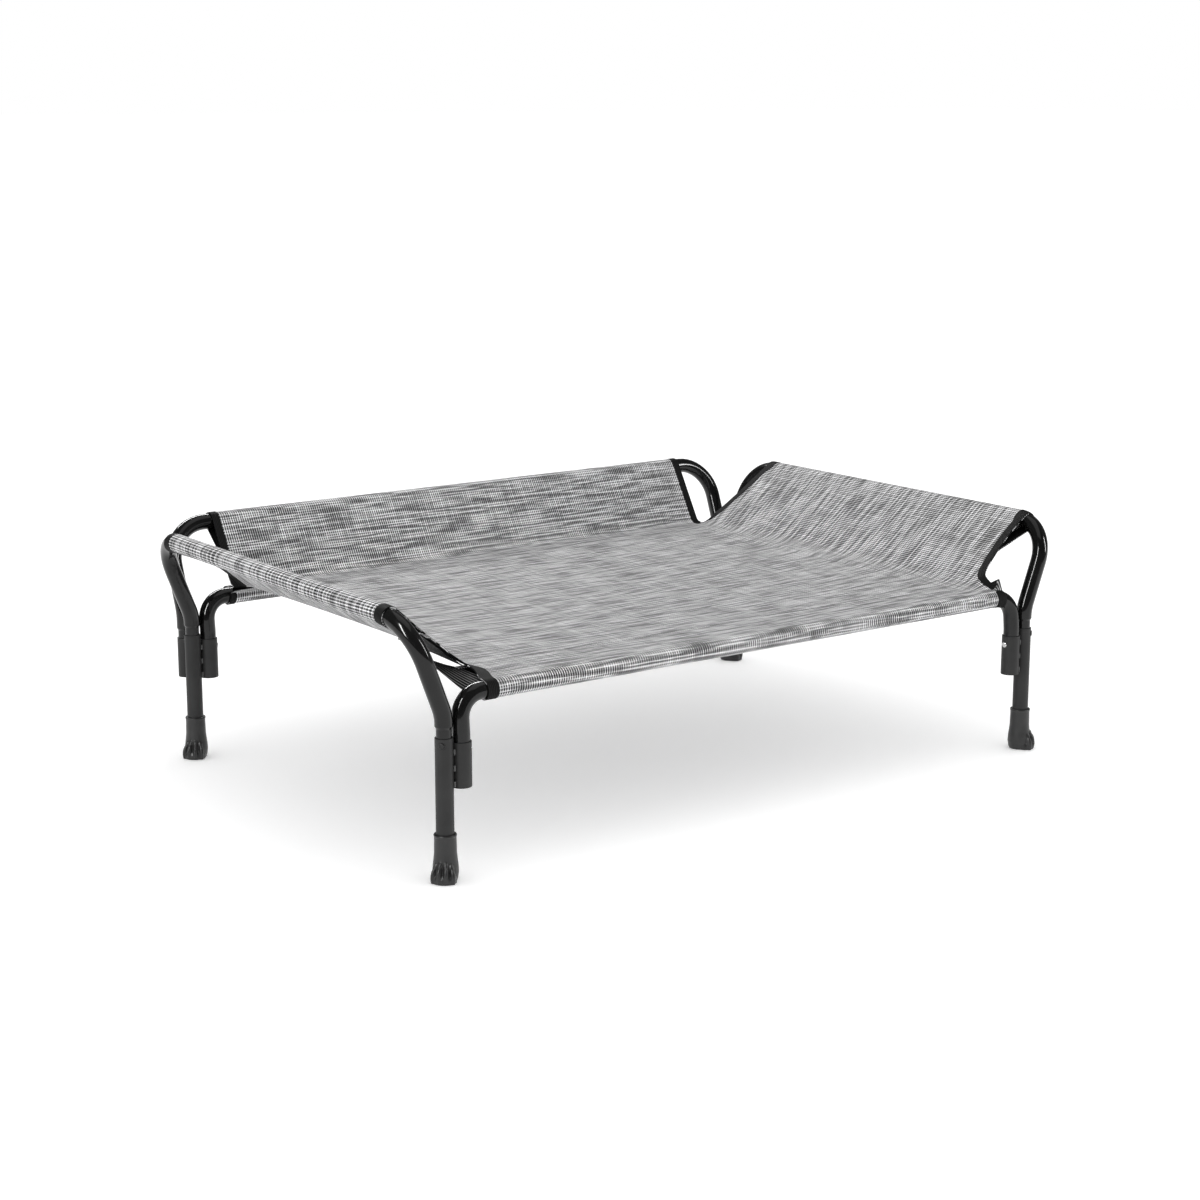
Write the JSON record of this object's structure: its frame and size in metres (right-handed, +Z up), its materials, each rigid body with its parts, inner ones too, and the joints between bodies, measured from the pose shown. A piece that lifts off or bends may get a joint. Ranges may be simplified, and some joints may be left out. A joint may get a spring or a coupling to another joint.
{
  "type": "raised dog bed",
  "caption": "Raised dog bed: bent black steel tube frame on paw-shaped rubber feet, with a grey woven sling and three raised sides.",
  "frame": {"origin": "on the floor, at the middle of the bounding box", "axes": "+X along the long side, +Y to the raised back side, +Z up"},
  "size_m": [1.0852, 0.7576, 0.3332],
  "materials": {
    "leg_black": "satin black powder coat",
    "rail_gloss_black": "gloss black powder coat",
    "rubber_black": "semi-matt moulded rubber",
    "woven_grey": "coarse open weave of white and black coated threads",
    "webbing_black": "ribbed black webbing tape",
    "button_black": "black oxide",
    "button_steel": "bright plated steel",
    "spring_steel": "bare spring steel"
  },
  "bodies": {
    "frame": {"back_low_rail": "rail_gloss_black", "back_rail": "rail_gloss_black", "back_socket_left": "leg_black", "back_socket_right": "leg_black", "binding_back_left": "webbing_black", "binding_back_right": "webbing_black", "binding_front_left": "webbing_black", "binding_front_right": "webbing_black", "cover_mat": "woven_grey", "cover_panel_back": "woven_grey", "cover_panel_left": "woven_grey", "cover_panel_right": "woven_grey", "foot_cap_back_left": "rubber_black", "foot_cap_back_right": "rubber_black", "foot_cap_front_left": "rubber_black", "foot_cap_front_right": "rubber_black", "front_low_rail": "rail_gloss_black", "leg_tube_back_left": "leg_black", "leg_tube_back_right": "leg_black", "leg_tube_front_left": "leg_black", "leg_tube_front_right": "leg_black", "low_socket_back_left": "leg_black", "low_socket_back_right": "leg_black", "low_socket_front_left": "leg_black", "low_socket_front_right": "leg_black", "side_rail_left": "rail_gloss_black", "side_rail_right": "rail_gloss_black", "sleeve_back": "woven_grey", "sleeve_back_low": "woven_grey", "sleeve_front_low": "woven_grey", "sleeve_left": "woven_grey", "sleeve_right": "woven_grey", "spring_clip_leg_back_left": "spring_steel", "spring_clip_leg_back_right": "spring_steel", "spring_clip_leg_front_left": "spring_steel", "spring_clip_leg_front_right": "spring_steel", "spring_clip_low_back_left": "spring_steel", "spring_clip_low_back_right": "spring_steel", "spring_clip_low_front_left": "spring_steel", "spring_clip_low_front_right": "spring_steel", "spring_clip_rear_left": "spring_steel", "spring_clip_rear_right": "spring_steel", "weld_beads_back_left": "leg_black", "weld_beads_back_right": "leg_black", "weld_beads_front_left": "leg_black", "weld_beads_front_right": "leg_black"},
    "snap_button_leg_back_left": {"snap_button_leg_back_left": "button_black"},
    "snap_button_leg_back_right": {"snap_button_leg_back_right": "button_black"},
    "snap_button_leg_front_left": {"snap_button_leg_front_left": "button_black"},
    "snap_button_leg_front_right": {"snap_button_leg_front_right": "button_black"},
    "snap_button_low_back_left": {"snap_button_low_back_left": "button_steel"},
    "snap_button_low_back_right": {"snap_button_low_back_right": "button_steel"},
    "snap_button_low_front_left": {"snap_button_low_front_left": "button_steel"},
    "snap_button_low_front_right": {"snap_button_low_front_right": "button_steel"},
    "snap_button_rear_left": {"snap_button_rear_left": "button_steel"},
    "snap_button_rear_right": {"snap_button_rear_right": "button_steel"}
  },
  "joints": [
    {"name": "press_leg_back_left", "type": "slide", "parent": "frame", "child": "snap_button_leg_back_left", "axis": [0.7071, -0.7071, 0], "range_m": [0, 0.0028], "stiffness_N_per_m": 2000, "deforming": ["spring_clip_leg_back_left"]},
    {"name": "press_leg_back_right", "type": "slide", "parent": "frame", "child": "snap_button_leg_back_right", "axis": [-0.7071, -0.7071, 0], "range_m": [0, 0.0028], "stiffness_N_per_m": 2000, "deforming": ["spring_clip_leg_back_right"]},
    {"name": "press_leg_front_left", "type": "slide", "parent": "frame", "child": "snap_button_leg_front_left", "axis": [0.7071, 0.7071, 0], "range_m": [0, 0.0028], "stiffness_N_per_m": 2000, "deforming": ["spring_clip_leg_front_left"]},
    {"name": "press_leg_front_right", "type": "slide", "parent": "frame", "child": "snap_button_leg_front_right", "axis": [-0.7071, 0.7071, 0], "range_m": [0, 0.0028], "stiffness_N_per_m": 2000, "deforming": ["spring_clip_leg_front_right"]},
    {"name": "press_low_back_left", "type": "slide", "parent": "frame", "child": "snap_button_low_back_left", "axis": [-1, 0, 0], "range_m": [0, 0.0028], "stiffness_N_per_m": 2000, "deforming": ["spring_clip_low_back_left"]},
    {"name": "press_low_back_right", "type": "slide", "parent": "frame", "child": "snap_button_low_back_right", "axis": [1, 0, 0], "range_m": [0, 0.0028], "stiffness_N_per_m": 2000, "deforming": ["spring_clip_low_back_right"]},
    {"name": "press_low_front_left", "type": "slide", "parent": "frame", "child": "snap_button_low_front_left", "axis": [-1, 0, 0], "range_m": [0, 0.0028], "stiffness_N_per_m": 2000, "deforming": ["spring_clip_low_front_left"]},
    {"name": "press_low_front_right", "type": "slide", "parent": "frame", "child": "snap_button_low_front_right", "axis": [1, 0, 0], "range_m": [0, 0.0028], "stiffness_N_per_m": 2000, "deforming": ["spring_clip_low_front_right"]},
    {"name": "press_rear_left", "type": "slide", "parent": "frame", "child": "snap_button_rear_left", "axis": [0, -1, 0], "range_m": [0, 0.0028], "stiffness_N_per_m": 2000, "deforming": ["spring_clip_rear_left"]},
    {"name": "press_rear_right", "type": "slide", "parent": "frame", "child": "snap_button_rear_right", "axis": [0, -1, 0], "range_m": [0, 0.0028], "stiffness_N_per_m": 2000, "deforming": ["spring_clip_rear_right"]}
  ]
}
